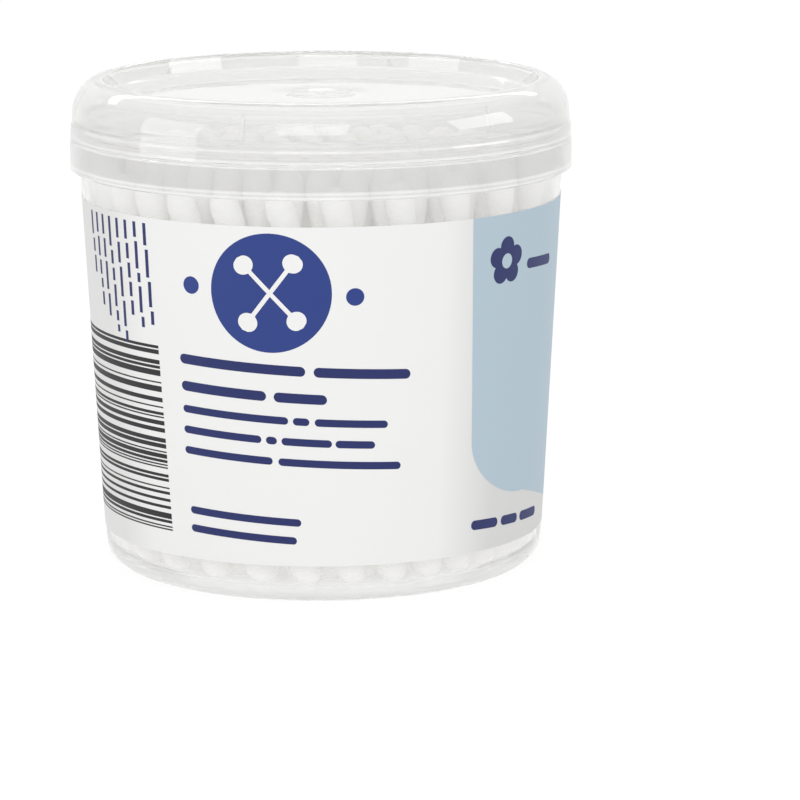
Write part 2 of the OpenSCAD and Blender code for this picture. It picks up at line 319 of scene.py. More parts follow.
# The faint grey at the pot's foot and near its rim is painted shade.
pot_tints = [(0.0, "#fafafa", 0.50), (2.2, "#fafafa", 0.50), (4.5, "#ffffff", 0.12),
             (10.0, "#ffffff", 0.12), (60.0, "#fafafa", 0.20), (80.0, "#fafafa", 0.20)]
pot_plastic = polypropylene("polypropylene_clear", pot_tints)
lid_plastic = polypropylene("polypropylene_hazy", lid_painted_shade_and_highlights)
panel_plastic = polypropylene("polypropylene_milky_panel", panel_tints)
print("plastics:", pot_plastic.name, lid_plastic.name, panel_plastic.name)

# %% [markdown]
# Most pieces here are round, so one function does the turning. It takes an outline of
# points in radius and height and carries it round the axis. An outline that starts and
# ends on the axis gives a closed solid with a pole at each end, and one that returns to
# its first point gives a ring. If the volume inside comes out negative, the faces are
# turned round. A helper makes the arrays into a mesh, and another gives some of its faces
# a second finish.

# %% Helpers for turned surfaces
def mesh_piece(name, points, faces, look, body, soft_angle=35.0):
    """A mesh object from an array of points in mm and an array of faces."""
    mesh = bpy.data.meshes.new(name)
    mesh.from_pydata((np.asarray(points) * MM).tolist(), [], [list(f) for f in faces])
    mesh.validate()
    mesh.polygons.foreach_set("use_smooth", np.ones(len(mesh.polygons), bool))
    mesh.set_sharp_from_angle(angle=radians(soft_angle))
    mesh.materials.append(look)
    piece = bpy.data.objects.new(name, mesh)
    bpy.context.scene.collection.objects.link(piece)
    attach(piece, body)
    return piece


def second_finish(piece, look, chosen):
    """Gives the faces a second finish where chosen is true of their centres, in mm."""
    faces = piece.data.polygons
    centres = np.empty(3 * len(faces))
    faces.foreach_get("center", centres)
    which = chosen(centres.reshape(-1, 3) / MM)
    piece.data.materials.append(look)
    faces.foreach_set("material_index", which.astype(np.int32))
    return int(which.sum())


def volume(points, faces):
    """Sum over triangles of corner a dot (corner b cross corner c), divided by six."""
    corners = np.array([(f[0], f[i], f[i + 1]) for f in faces for i in range(1, len(f) - 1)])
    a, b, c = (np.asarray(points)[corners[:, k]] for k in range(3))
    return float(np.einsum("ij,ij->i", a, np.cross(b, c)).sum() / 6)


def turned(outline, steps=240, ring=False):
    """Point (r cos a, r sin a, z) for each outline point and each of the even steps of a."""
    outline = np.asarray(outline, float)
    body = outline if ring else outline[1:-1]
    angle = np.arange(steps) * 2 * pi / steps
    grid = np.stack([body[:, :1] * np.cos(angle), body[:, :1] * np.sin(angle),
                     np.repeat(body[:, 1:], steps, axis=1)], axis=-1)
    rows = len(body)
    i, j = np.meshgrid(np.arange(rows if ring else rows - 1), np.arange(steps), indexing="ij")
    i2, j2 = (i + 1) % rows, (j + 1) % steps
    quads = np.stack([i * steps + j, i * steps + j2, i2 * steps + j2, i2 * steps + j], -1)
    points, faces = grid.reshape(-1, 3), quads.reshape(-1, 4).tolist()
    if not ring:
        first, last, k = rows * steps, rows * steps + 1, np.arange(steps)
        poles = [[0, 0, outline[0, 1]], [0, 0, outline[-1, 1]]]
        points = np.vstack([points, poles])
        faces += [[first, (b + 1) % steps, b] for b in k]
        faces += [[last, (rows - 1) * steps + b, (rows - 1) * steps + (b + 1) % steps] for b in k]
    if volume(points, faces) < 0:
        faces = [f[::-1] for f in faces]
    return points, faces


def arc(mid_r, mid_z, radius, start, end, count):
    """Points on a circle of an outline, from one angle to another in degrees."""
    a = np.radians(np.linspace(start, end, count))
    return np.stack([mid_r + radius * np.cos(a), mid_z + radius * np.sin(a)], -1)


test_ring = turned([(9, 0), (10, 0), (10, 1), (9, 1)], ring=True)
print("a turned test ring encloses", round(volume(*test_ring), 1), "mm3")

# %% [markdown]
# The pot is one moulding: a foot ring to stand on, a rounded corner, a wall that leans
# out by the mould's draft, a bead for the lid to snap over and a tapered rim. Its real
# section is drawn once, outside and inside, and turned. The corners are true arcs, so
# the light runs round them as it does on the real pot.

# %% Turn the pot
foot_round, rim_round, rim_taper = 0.3, 0.1, 14


def corner(r0, radius, low):
    """Middle of the arc that touches the height low and the leaning wall of radius r0."""
    return r0 + (low + radius) * tan(draft) - radius / cos(draft), low + radius


def pot_outline():
    """Outline from the middle of the underside, round the rim, to the middle of the floor."""
    lean = degrees(draft)
    out_r, out_z = corner(tub_r, corner_r, 0)
    in_r, in_z = corner(tub_r - tub_wall, corner_r - tub_wall, floor_z)
    foot_in = out_r - foot_w
    bead_z = rim_z - bead_drop
    bead_mid = tub_out(bead_z) + bead_out - bead_r
    bead_half = degrees(np.arccos((bead_r - bead_out) / bead_r))
    outside = [
        [[0, foot_h], [foot_in - 0.5, foot_h]],
        arc(foot_in - foot_round, foot_h - foot_round, foot_round, 90, 0, 4),
        arc(foot_in + foot_round, foot_round, foot_round, 180, 270, 4),
        arc(out_r, out_z, corner_r, -90, -lean, 16),
        [[tub_out(z), z] for z in np.linspace(6, bead_z - 1, 14)],
        arc(bead_mid, bead_z, bead_r, -bead_half, bead_half, 9),
        [[tub_out(rim_z - lead_h), rim_z - lead_h]],
        arc(tub_out(rim_z) - lead_in - rim_round, rim_z - rim_round, rim_round, rim_taper, 90, 4),
    ]
    inside = [
        arc(tub_out(rim_z) - tub_wall + rim_chamfer, rim_z - rim_chamfer, rim_chamfer,
            90, 180, 5),
        [[tub_out(z) - tub_wall, z] for z in np.linspace(rim_z - 1, 7, 14)],
        arc(in_r, in_z, corner_r - tub_wall, -lean, -90, 12),
        [[0, floor_z]],
    ]
    return np.vstack([np.asarray(p, float) for p in outside + inside])


pot = mesh_piece("pot", *turned(pot_outline()), pot_plastic, TUB)
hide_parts("tub")
print("pot:", len(pot.data.polygons), "faces")

# %% [markdown]
# The lid is the second moulding. Seen in section it is a stepped skirt with a snap ring
# inside, a broad rounded shoulder that rises to a stacking rim, and a flat panel sunk
# inside that rim. Six thin ribs hang in the shoulder and rest on the rim of the pot. A
# shallow disc with a nib in its middle is the mark that the mould's gate leaves.

# %% Turn the lid
panel_z, panel_t, lid_wall = crest_z - 3.0, 1.0, 0.8
skirt_in, shoulder_in, skirt_out = 43.10, 42.704, 44.0
step_z, shoulder_z, inner_step_z = rim_z - 1.8, rim_z - 0.15, rim_z - 0.9
shoulder_w, shoulder_h = 5.0, crest_z - rim_z + 0.15
snap_z, snap_out, snap_ring_r = rim_z - 4.1, 0.23, 0.35
shoulder_r = shoulder_in + lid_wall
crest_r = shoulder_r - shoulder_w
recess_round, recess_slope = 0.5, 0.6
panel_r = crest_r - recess_round - recess_slope
lip_outside, lip_inside = 0.5, 0.2
gate_r, gate_deep, nib_r, nib_high = 5.2, 0.25, 0.7, 0.3


def shoulder(start, end, depth, count):
    """Quarter ellipse of the shoulder, a depth under its surface, between two angles."""
    a = np.radians(np.linspace(start, end, count))
    return np.stack([crest_r + (shoulder_w - depth) * np.cos(a),
                     shoulder_z + (shoulder_h - depth) * np.sin(a)], -1)


def lid_outline():
    """Outline from the middle of the panel's top, down the skirt, to its underside. Each
    point of the taper is so far inside the skirt's radius and so far over its step."""
    taper = [(0.28, 0.03), (0.245, -0.1), (0.16, -1.5), (0.09, -3.0), (0.03, -5.0)]
    snap_mid = skirt_in + snap_ring_r - snap_out
    half = degrees(np.arccos((snap_ring_r - snap_out) / snap_ring_r))
    gate_z = panel_z - gate_deep
    top = [
        [[0, gate_z + nib_high], [nib_r - 0.2, gate_z + nib_high]],
        [[nib_r, gate_z + 0.1], [nib_r + 0.1, gate_z]],
        [[gate_r - 0.6, gate_z], [gate_r - 0.2, gate_z + 0.06]],
        [[gate_r + 0.2, panel_z - 0.06], [gate_r + 0.6, panel_z]],
        [[r, panel_z] for r in (10, 20, 30)],
        arc(panel_r - recess_round, panel_z + recess_round, recess_round, -90, -12, 7),
        arc(crest_r, crest_z - recess_round, recess_round, 168, 90, 8),
        shoulder(87, 0, 0, 30),
    ]
    skirt = [
        [[shoulder_r + 0.05, shoulder_z - 0.8]],
        [[shoulder_r + 0.09, step_z + 0.3], [shoulder_r + 0.12, step_z + 0.18]],
        [[skirt_out - inset, step_z + over] for inset, over in taper],
        [[skirt_out - 0.01, skirt_z + 1.1]],
        arc(skirt_out - lip_outside, skirt_z + lip_outside + 0.1, lip_outside, 0, -70, 7),
        [[skirt_out - lip_outside, skirt_z], [skirt_in + lip_inside, skirt_z]],
        arc(skirt_in + lip_inside, skirt_z + lip_inside, lip_inside, -100, -180, 4),
    ]
    inside = [
        arc(snap_mid, snap_z, snap_ring_r, 180 + half, 180 - half, 9),
        [[skirt_in, inner_step_z - 0.5], [skirt_in - 0.06, inner_step_z - 0.36]],
        [[shoulder_in + 0.05, inner_step_z - 0.1], [shoulder_in, inner_step_z]],
        shoulder(0, 74, lid_wall, 22),
        arc(crest_r + 0.85, crest_z - lid_wall - 0.75, 0.4, 100, 168, 4),
        arc(panel_r + lid_wall - recess_round, panel_z - panel_t + recess_round, recess_round,
            -12, -90, 6),
        [[r, panel_z - panel_t] for r in (30, 20, 10, 0)],
    ]
    return np.vstack([np.asarray(p, float) for p in top + skirt + inside])


lid = mesh_piece("lid_cap", *turned(lid_outline()), lid_plastic, LID)
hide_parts("lid")
milky = second_finish(lid, panel_plastic, lambda mid: np.hypot(mid[:, 0], mid[:, 1]) < panel_r)
print("lid:", len(lid.data.polygons), "faces,", milky, "of them in the panel")

# %% [markdown]
# Each stop rib is a thin plate that follows the inside of the shoulder. It could be cut
# from a block, but its outline is already known: the rim below and the shoulder outside.
# Two copies of that outline, a rib's thickness apart, and the faces between make it.

# %% Hang the stop ribs in the shoulder
rib_t, rib_count, rib_start = 0.7, 6, 12.0
rib_reach, rib_short, rib_end = 0.2, 0.6, 52.5


def rib_outline():
    """Outline in radius and height: along the rim, then up the middle of the shoulder's wall
    to an angle of its ellipse, then straight down a little inside the rim."""
    rib_in = tub_out(rim_z) - tub_wall - rib_reach
    along = shoulder(0, rib_end, lid_wall / 2, 9)
    lift = (rib_in - crest_r) / (shoulder_w - lid_wall)
    top = shoulder_z + (shoulder_h - lid_wall) * sqrt(1 - lift ** 2) - rib_short
    foot = [[rib_in, rim_z], [shoulder_r - lid_wall / 2, rim_z]]
    return np.vstack([foot, along[1:], [[rib_in, top]]])


def rib_points():
    """The outline at minus and plus half a thickness, turned to each rib's direction."""
    flat = rib_outline()
    side = np.array([-rib_t / 2, rib_t / 2])
    x, y = np.meshgrid(flat[:, 0], side)
    z = np.broadcast_to(flat[:, 1], x.shape)
    angle = np.radians(rib_start + np.arange(rib_count) * 360 / rib_count)[:, None, None]
    return np.stack([x * np.cos(angle) - y * np.sin(angle),
                     x * np.sin(angle) + y * np.cos(angle),
                     np.broadcast_to(z, (rib_count, *z.shape))], -1)


def build_ribs():
    """Each rib is a prism: its outline twice, and a quad between each pair of edges."""
    points = rib_points()
    n = points.shape[2]
    faces = []
    for rib in range(rib_count):
        base = rib * 2 * n
        front, back = [base + k for k in range(n)], [base + n + k for k in range(n)]
        faces += [front, back[::-1]]
        faces += [[front[k], back[k], back[(k + 1) % n], front[(k + 1) % n]] for k in range(n)]
    flat_points = points.reshape(-1, 3)
    if volume(flat_points, faces) < 0:
        faces = [f[::-1] for f in faces]
    return mesh_piece("lid_stop_ribs", flat_points, faces, lid_plastic, LID)


ribs = build_ribs()
print("ribs:", rib_count, "of", rib_t, "mm")

# %% [markdown]
# The label is matt coated paper, wrapped round the pot and lapped over itself at the
# back. It is a thin sleeve that follows the wall's lean. The print is not painted into
# the material: each printed field is its own thin skin on the label, so its edges stay
# sharp at any distance. The paper's white runs out softly to both sides into a pale
# grey, more to the right: that is painted shade where the label turns away from the
# light, a colour that goes round with the direction. The inside of the paper, seen
# through the pot, has its own finish: a painted glow for the light that a thin white
# sheet lets through.

# %% Label paper and printing inks
mottle_mm, tooth_mm, tooth_high, tooth_share = 16.67, 0.4, 0.04, 0.12
paper_rough, paper_index = 0.55, 1.45


def tone_round(tree, place, tones):
    """Colour by the direction round the tub, atan2(x, -y): 0 in front, positive to the
    right. tones holds pairs of degrees and colour, from -180 to 180."""
    axes = add(tree, "ShaderNodeSeparateXYZ", Vector=place)
    ahead = add(tree, "ShaderNodeMath", {"operation": "MULTIPLY"}, i0=axes.outputs["Y"], i1=-1.0)
    turn = add(tree, "ShaderNodeMath", {"operation": "ARCTAN2"},
               i0=axes.outputs["X"], i1=ahead.outputs["Value"])
    steps = [(radians(at), colour, 1.0) for at, colour in tones]
    return stepped(tree, turn.outputs["Value"], steps)


def printed_paper(name, colour, grain, glow=0.0, tones=()):
    """Matt coated paper: a plain colour, or tones of painted shade round the tub, with a
    faint mottle and a fine tooth. The glow is painted light, for the light that comes
    through the sheet from its other side."""
    look, tree, out = material(name)
    coords = add(tree, "ShaderNodeTexCoord")
    mottle = add(tree, "ShaderNodeTexNoise", Vector=coords.outputs["Object"],
                 Scale=1 / (mottle_mm * MM), Detail=4.0)
    tooth = add(tree, "ShaderNodeTexNoise", Vector=coords.outputs["Object"],
                Scale=1 / (tooth_mm * MM), Detail=2.0)
    level = add(tree, "ShaderNodeMapRange", Value=mottle.outputs["Fac"],
                To_Min=1 - grain, To_Max=1.0)
    ground_or_shade = (*linear(colour), 1)
    if tones:
        ground_or_shade = tone_round(tree, coords.outputs["Object"], tones).outputs["Color"]
    tone = add(tree, "ShaderNodeMix", {"data_type": "RGBA", "blend_type": "MULTIPLY"}, Factor=1.0,
               i6=ground_or_shade, i7=level.outputs["Result"])
    bump = add(tree, "ShaderNodeBump", Strength=tooth_share, Distance=tooth_high * MM,
               Height=tooth.outputs["Fac"])
    paper = add(tree, "ShaderNodeBsdfPrincipled", Base_Color=tone.outputs[2], Roughness=paper_rough,
                IOR=paper_index, Emission_Color=white, Emission_Strength=glow,
                Normal=bump.outputs["Normal"])
    tree.links.new(paper.outputs["BSDF"], out.inputs["Surface"])
    return look


# Painted shade: the label's white greys off to both sides, most to the right, as it turns away from
# the light.
label_painted_side_shade = [(-180, "#e7e7e6"), (-62, "#e7e7e6"), (-48, "#f4f4f3"), (30, "#f4f4f3"),
                (38, "#eaeae9"), (47, "#dddddc"), (90, "#dddddc"), (180, "#e7e7e6")]
label_paper = printed_paper("coated_label_paper", "#f4f4f3", 0.02, tones=label_painted_side_shade)
# Painted glow: the paper's inside emits a little, for light let through the sheet.
label_back = printed_paper("label_paper_back_lit_through", "#e4e4e3", 0.02, glow=0.30)
ink_navy = printed_paper("ink_navy", "#1b2764", 0.06)
ink_blue = printed_paper("ink_royal_blue", "#243c87", 0.06)
ink_pale = printed_paper("ink_pale_blue", "#b7cad6", 0.03)
ink_white = printed_paper("ink_white", "#f4f4f3", 0.02)
ink_black = printed_paper("ink_black", "#17181c", 0.06)
print("inks:", [m.name for m in (ink_navy, ink_blue, ink_pale, ink_white, ink_black)])

# %% [markdown]
# A sheet like this could be a flat plane that a modifier bends round. It is simpler as
# one more turned ring, with a slim section that leans with the wall. Its ends meet at the
# back in an overlap a few millimetres wide, which is a curved strip on a grid of angle
# and height. The faces that look inwards get the finish of the paper's inside.

# %% Wrap the label
label_gap, label_t, lap_w = 0.02, 0.10, 6.0


def sleeve(off, t):
    """Outline of a sheet of thickness t, a distance off the wall."""
    return [(tub_out(label_low) + off, label_low), (tub_out(label_low) + off + t, label_low),
            (tub_out(label_top) + off + t, label_top), (tub_out(label_top) + off, label_top)]


def lap_strip():
    """The overlap at the back: a grid of angle and height, from inside the sleeve's paper to
    one thickness over it, with a rim of quads between its two layers."""
    half = lap_w / 2 / tub_out((label_low + label_top) / 2)
    a, z = np.meshgrid(pi / 2 + np.linspace(-half, half, 13),
                       np.linspace(label_low, label_top, 9))
    layers = []
    for off in (label_gap + label_t / 2, label_gap + 2 * label_t):
        r = tub_out(z) + off
        layers.append(np.stack([r * np.cos(a), r * np.sin(a), z], -1).reshape(-1, 3))
    rows, columns = a.shape
    i, j = np.meshgrid(np.arange(rows - 1), np.arange(columns - 1), indexing="ij")
    k = (i * columns + j).ravel()
    outer = np.stack([k, k + 1, k + columns + 1, k + columns], -1) + rows * columns
    inner = outer[:, ::-1] - rows * columns
    edge = np.concatenate([np.arange(columns), np.arange(1, rows) * columns + columns - 1,
                           (rows - 1) * columns + np.arange(columns - 2, -1, -1),
                           np.arange(rows - 2, 0, -1) * columns])
    after = np.roll(edge, -1)
    rim = np.stack([edge, after, after + rows * columns, edge + rows * columns], -1)
    faces = np.vstack([outer, inner, rim]).tolist()
    points = np.vstack(layers)
    if volume(points, faces) < 0:
        faces = [f[::-1] for f in faces]
    return points, faces


label = mesh_piece("label_sleeve", *turned(sleeve(label_gap, label_t), ring=True), label_paper, TUB)
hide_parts("label")
lap = mesh_piece("label_overlap", *lap_strip(), label_paper, TUB)
inward = second_finish(label, label_back, lambda mid: np.hypot(mid[:, 0], mid[:, 1])
                       < tub_out(mid[:, 2]) + label_gap + label_t / 4)
print("label:", round(2 * pi * tub_out(label_low), 1), "mm round its lower edge")
print("faces of its inside:", inward)

# %% [markdown]
# A printed field is given by its left and right edge at each height, in millimetres
# along the wall from the middle of the front. One function lays such a field on the
# leaning wall, and it can also slope the field, because the print of this label runs
# down a little to the right. Bars, discs and the blue field are all of this one kind.

# %% Helpers for printed fields
ink_t, skin_step, bar_step, print_slope = 0.02, 1.0, 4, tan(radians(2.9))
mid_r, least_half = tub_out((label_low + label_top) / 2), 0.02


def on_label(u, z, lift):
    """Point on the label: u mm along the wall, height z, lifted off the paper."""
    r = tub_out(z) + label_gap + label_t + lift
    return np.stack([r * np.sin(u / mid_r), -r * np.cos(u / mid_r), z], -1)


def field_grid(left, right, z, slope=0.0):
    """Points left plus the share s of the way to right, at each z less the slope times
    the way from the field's first edge."""
    columns = max(2, int(np.ceil(np.max(right - left) / skin_step)) + 1)
    u = left[:, None] + (right - left)[:, None] * np.linspace(0, 1, columns)
    drop = slope * (u - np.min(left))
    return on_label(u, z[:, None] - drop, ink_t)


def print_fields(name, grids, look, lift=0.0):
    """One piece of several fields, each a grid, as a skin that lies on the paper."""
    points, faces, base = [], [], 0
    for grid in grids:
        rows, columns = grid.shape[:2]
        i, j = np.meshgrid(np.arange(rows - 1), np.arange(columns - 1), indexing="ij")
        k = base + i * columns + j
        faces += np.stack([k, k + 1, k + columns + 1, k + columns], -1).reshape(-1, 4).tolist()
        points.append(grid.reshape(-1, 3))
        base += rows * columns
    points = np.vstack(points)
    out = points * [1, 1, 0]
    points = points + lift * out / np.linalg.norm(out, axis=1, keepdims=True)
    piece = mesh_piece(name, points, faces, look, TUB)
    return piece


def bar(u0, u1, z0, z1, slope=0.0):
    """A plain rectangle from u0 to u1 and z0 to z1."""
    z = np.linspace(z0, z1, int((z1 - z0) / bar_step) + 2)
    return field_grid(np.full(z.shape, u0), np.full(z.shape, u1), z, slope)


def pill(u0, u1, z0, z1, slope=0.0):
    """A bar with round ends: the circle of radius r ends r minus root(r2 - h2) inside."""
    r = (z1 - z0) / 2
    h = -r * np.cos(np.linspace(0, pi, 9))
    inset = r - np.sqrt(np.clip(r ** 2 - h ** 2, 0, None))
    return field_grid(u0 + inset, u1 - inset, (z0 + z1) / 2 + h, slope)


def disc(u, z, r, count=25):
    """A disc: half a width of r cos t at the height r sin t above its middle, and never
    quite nothing, so that no face is without area."""
    t = np.linspace(-pi / 2, pi / 2, count)
    half = np.maximum(r * np.cos(t), least_half)
    return field_grid(u - half, u + half, z + r * np.sin(t))


print("one pill has", pill(0, 10, 0, 2).shape, "points")

# %% [markdown]
# The layout keeps the look of a pharmacy label without copying one: a ladder of black
# bars at the left, lines of dark blue where words would be, a blue disc with two white
# swabs crossed on it, and a pale blue field with one large rounded corner at the right.
# Each line is a row of round-ended bars, as long as words are. Left of the disc, small
# print runs up and down in narrow columns of plain bars of chance length.

# %% Print the lines, the ladder and the pale blue field
def word_line(u0, z0, z1, ends):
    """Bars one after another. ends holds each one's first and last u."""
    return [pill(a, b, z0 - print_slope * (a - u0), z1 - print_slope * (a - u0), print_slope)
            for a, b in ends]


lines = word_line(-25.5, 41.2, 42.9, [(-25.5, -2.9), (-1.5, 15.0)])
lines += word_line(-25.4, 36.5, 38.2, [(-25.4, -9.6), (-8.3, 0.7)])
lines += word_line(-25.3, 32.7, 34.0, [(-25.3, -5.9), (-5.1, -2.3), (-1.4, 11.1)])
lines += word_line(-25.3, 29.1, 30.4, [(-25.3, -10.6), (-9.8, -7.9), (-7.1, 1.5), (2.1, 8.9)])
lines += word_line(-25.3, 25.5, 26.8, [(-25.3, -8.7), (-7.7, 13.5)])
lines += word_line(-24.7, 15.0, 16.3, [(-24.7, -3.9)])
lines += word_line(-24.7, 11.8, 13.1, [(-24.7, -4.7)])
lines += word_line(28.3, 11.0, 12.7, [(28.3, 35.2), (36.2, 41.6), (42.6, 50.2)])

rng = np.random.default_rng(7)
column_top, column_u, column_pitch, column_w, column_lean = 64.6, -32.6, 2.5, 0.75, 0.06
word_least, word_most, word_gap = 1.6, 5.2, 0.7
small_print = []
for k, length in enumerate([17.5, 18.2, 16.4, 21.4, 20.0, 18.6, 17.5, 12.0]):
    z = column_top
    while z > column_top - length + 1:
        word = min(rng.uniform(word_least, word_most), z - (column_top - length))
        u = column_u - column_pitch * k + (column_top - z) * column_lean
        small_print.append(bar(u, u + column_w, z - word, z))
        z -= word + word_gap
print_fields("label_lines", lines + small_print, ink_navy)
print("lines:", len(lines), "small words:", len(small_print))

ladder_top, ladder_h, ladder_left, ladder_right, ladder_lean = 43.6, 32.4, -62.0, -30.3, 0.036
modules = rng.choice([1, 1, 2, 3, 4], 60)
used = np.concatenate([[0], np.cumsum(modules[:59])])
ladder_z = ladder_top - ladder_h * used / used[-1]
ladder = [bar(ladder_left, ladder_right + ladder_lean * (ladder_top - top), bottom, top)
          for top, bottom in zip(ladder_z[0::2], ladder_z[1::2])]
print_fields("label_ladder", ladder, ink_black)
print("ladder:", len(ladder), "bars, down to", round(float(ladder_z[-1]), 1), "mm")


def blue_field(left, right):
    """Its lower left edge is a quarter ellipse, then a line that falls to the right. Above
    the ellipse the left edge leans outwards a little, evenly with height."""
    corner_w, corner_h, corner_top, fall = 15.5, 11.2, 27.0, 0.26
    line_share, edge_lean = 0.9, 0.035
    t = np.linspace(pi / 2, 0, 20)
    low = corner_top - corner_h
    z_end = low - fall * (right - left - corner_w) * line_share
    z_line = np.linspace(z_end, low, 45)[:-1]
    z_arc = low + corner_h * (1 - np.sin(t))
    z_side = np.linspace(corner_top, label_top, 12)[1:]
    z = np.concatenate([z_line, z_arc, z_side])
    edge = np.concatenate([left + corner_w + (low - z_line) / fall,
                           left + corner_w * (1 - np.cos(t)), np.full(z_side.shape, left)])
    edge -= edge_lean * np.clip(z - corner_top, 0, None)
    return field_grid(edge, np.full(edge.shape, right), z)


print_fields("label_blue_field", [blue_field(27.7, 74.0)], ink_pale)

# %% [markdown]
# The pictures are swabs and a cotton flower, which any such label may show. A swab lying
# flat is wide at both ends and thin between. The flower is five round petals round a
# pale heart. Each is a field like those before, one thickness of ink above the other
# where they cross.

# %% Print the disc, the crossed swabs and the cotton flower
def swab_mark(u, z, length, turn_deg, width):
    """A flat swab: its half width is an ellipse's at both ends and a thin line's between."""
    s = np.linspace(-1, 1, 61)
    ball, line_w = 0.20, 0.22
    ends = np.sqrt(np.clip(1 - ((np.abs(s) - (1 - ball)) / ball) ** 2, 0, 1))
    half = np.maximum(line_w * (np.abs(s) < 1 - ball / 2), ends) * width / 2
    across = np.linspace(-1, 1, 9)
    a = radians(turn_deg)
    along = s[:, None] * length / 2 + 0 * across
    out = half[:, None] * across
    return on_label(u + along * sin(a) + out * cos(a), z + along * cos(a) - out * sin(a), ink_t)


disc_u, disc_z, disc_r = -8.6, 54.3, 10.2
dot_off, dot_drop, dot_r = 14.0, 0.6, 1.5
dots = [disc(disc_u + side * dot_off, disc_z - side * dot_drop, dot_r) for side in (-1, 1)]
print_fields("label_disc", [disc(disc_u, disc_z, disc_r, 41)] + dots, ink_blue)
marks = [swab_mark(disc_u, disc_z, 16.0, lean, 3.4) for lean in (37, -43)]
print_fields("label_disc_marks", marks[:1], ink_white, lift=ink_t)
print_fields("label_disc_marks_over", marks[1:], ink_white, lift=ink_t * 2)
flower_u, flower_z, petal_off, petal_r, heart_r = 34.6, 57.4, 2.5, 1.75, 1.3
petals = [disc(flower_u + petal_off * sin(a), flower_z + petal_off * cos(a), petal_r, 15)
          for a in np.arange(5) * 2 * pi / 5]
word_beside = [pill(40.6, 50.5, 55.2, 57.0, print_slope)]
print_fields("label_flower", petals + word_beside, ink_navy, lift=ink_t)
print_fields("label_flower_heart", [disc(flower_u, flower_z, heart_r, 15)], ink_pale,
             lift=ink_t * 2)
print("pictures printed")

# %% [markdown]
# The swabs are the filling. On the bench each is a rolled paper stick with cotton wound
# on both ends. They stand in rows from the wall inwards. The outer row has room to
# spare, so its swabs sway to and fro, and each inner row is turned a little against its
# neighbour. The places follow the same rule as the solids in the frame.

# %% Work out where each swab stands
swab_len, stick_d, tip_d, tip_len, tip_widest, nose_d = 72.0, 2.35, 5.0, 13.5, 4.0, 1.8
tip_cap, feather_d, tip_gap, wall_gap, floor_gap = 1.5, 2.69, 0.12, 0.15, 0.1
outer_spacing, inner_spacing, sway_share, stray_share = 1.46, 1.03, 0.9, 0.1
sway_room, row_twist, sway_from, sway_shift = 0.4, 3.2, 345.0, 110
stray_swab, stray_row = 222, 75
pitch = tip_d + tip_gap


def tip_at(s):
    """Radius of the cotton at distance s: a quarter ellipse to the widest place, then a
    half wave of the cosine down to the stick."""
    nose = nose_d / 2 + (tip_d - nose_d) / 2 * np.sqrt(np.clip(1 - (1 - s / tip_widest) ** 2, 0, 1))
    share = np.clip((s - tip_widest) / (tip_len - tip_widest), 0, 1)
    tail = feather_d / 2 + (tip_d - feather_d) / 4 * (1 + np.cos(pi * share))
    return np.where(s < tip_widest, nose, tail)


def room_at(h):
    """Inner radius of the pot at height h above its floor, rounded corner included."""
    r = corner_r - tub_wall
    mid = corner(tub_r - tub_wall, r, floor_z)[0]
    rounded = mid + np.sqrt(np.clip(r ** 2 - (r - h) ** 2, 0, None))
    return np.where(h < r, rounded, tub_out(floor_z + h) - tub_wall)


near = np.arange(0, tip_widest + 0.01, 0.25)
low_row_r = float(np.min(room_at(near + floor_gap) - tip_at(near))) - wall_gap
high_row_r = tub_out(floor_z + swab_len - tip_widest) - tub_wall - tip_d / 2 - 2 * wall_gap
last_row = 1 + floor((low_row_r - sway_room) / pitch)
row_groups = {"row_1": [1], "row_2": [2], "row_3": [3], "row_4": [4],
              "inner_rows": list(range(5, last_row + 1))}
print("outer row stands at", round(low_row_r, 2), "and ends at", round(high_row_r, 2), "mm")


def row_count(r, spacing):
    """How many chords of the length spacing fit in a circle of radius r: 180 / asin."""
    return 1 if 2 * r <= spacing else floor(180 / degrees(asin(spacing / (2 * r))))


def free_share(r, count):
    """Share of a row that is left when its swabs stand as close as they may."""
    if count < 3:
        return 0.0
    return max(0.0, 1 - pitch * inner_spacing / (2 * r * sin(pi / count)))


def row_axes(row):
    """Lower and upper end of every swab in a row, as two arrays of points. The ends stand
    evenly on two circles, less a sine wave round the row, and the upper ones stray too."""
    low_r = low_row_r - (row - 1) * pitch - (sway_room if row > 1 else 0)
    high_r = low_r * high_row_r / low_row_r
    count = row_count(low_r, pitch * (outer_spacing if row == 1 else inner_spacing))
    i = np.arange(count)
    even = 360 * (i + (row % 2) / 2) / count
    wave = sway_share * np.sin(np.radians(even - sway_from - (row - 1) * sway_shift))
    twist = row_twist * (row - 1) * (-1 if row % 2 == 0 else 1)
    stray = stray_share * np.sin(np.radians(stray_swab * i + stray_row * row)) * 360 / count
    low_free, high_free = free_share(low_r, count), free_share(high_r, count)
    low_a = np.radians(even - np.degrees(low_free * wave))
    high_a = np.radians(even + twist + np.degrees(high_free * wave) + high_free * stray)
    low = low_r * np.stack([np.cos(low_a), np.sin(low_a)], -1)
    high = high_r * np.stack([np.cos(high_a), np.sin(high_a)], -1)
    lean = np.arcsin(np.linalg.norm(high - low, axis=1) / swab_len)
    low_z = floor_z + floor_gap + nose_d / 2 * np.sin(lean)
    return np.c_[low, low_z], np.c_[high, low_z + swab_len * np.cos(lean)]


swab_total = sum(len(row_axes(row)[0]) for row in range(1, last_row + 1))
print("swabs:", swab_total)

# %% [markdown]
# Bleached cotton is matt, with a soft glow at its edges where loose fibres catch the
# light. The fibres are wound round the stick, which shows as faint rings. Real fibres are
# too fine to show, so the rings are drawn about half a millimetre apart. The tips have a
# faint painted glow for light that loose fibre passes on, and the lower tips, which stand
# over the bright table, have more of it. The sticks are rolled paper, a shade warmer and
# smoother.

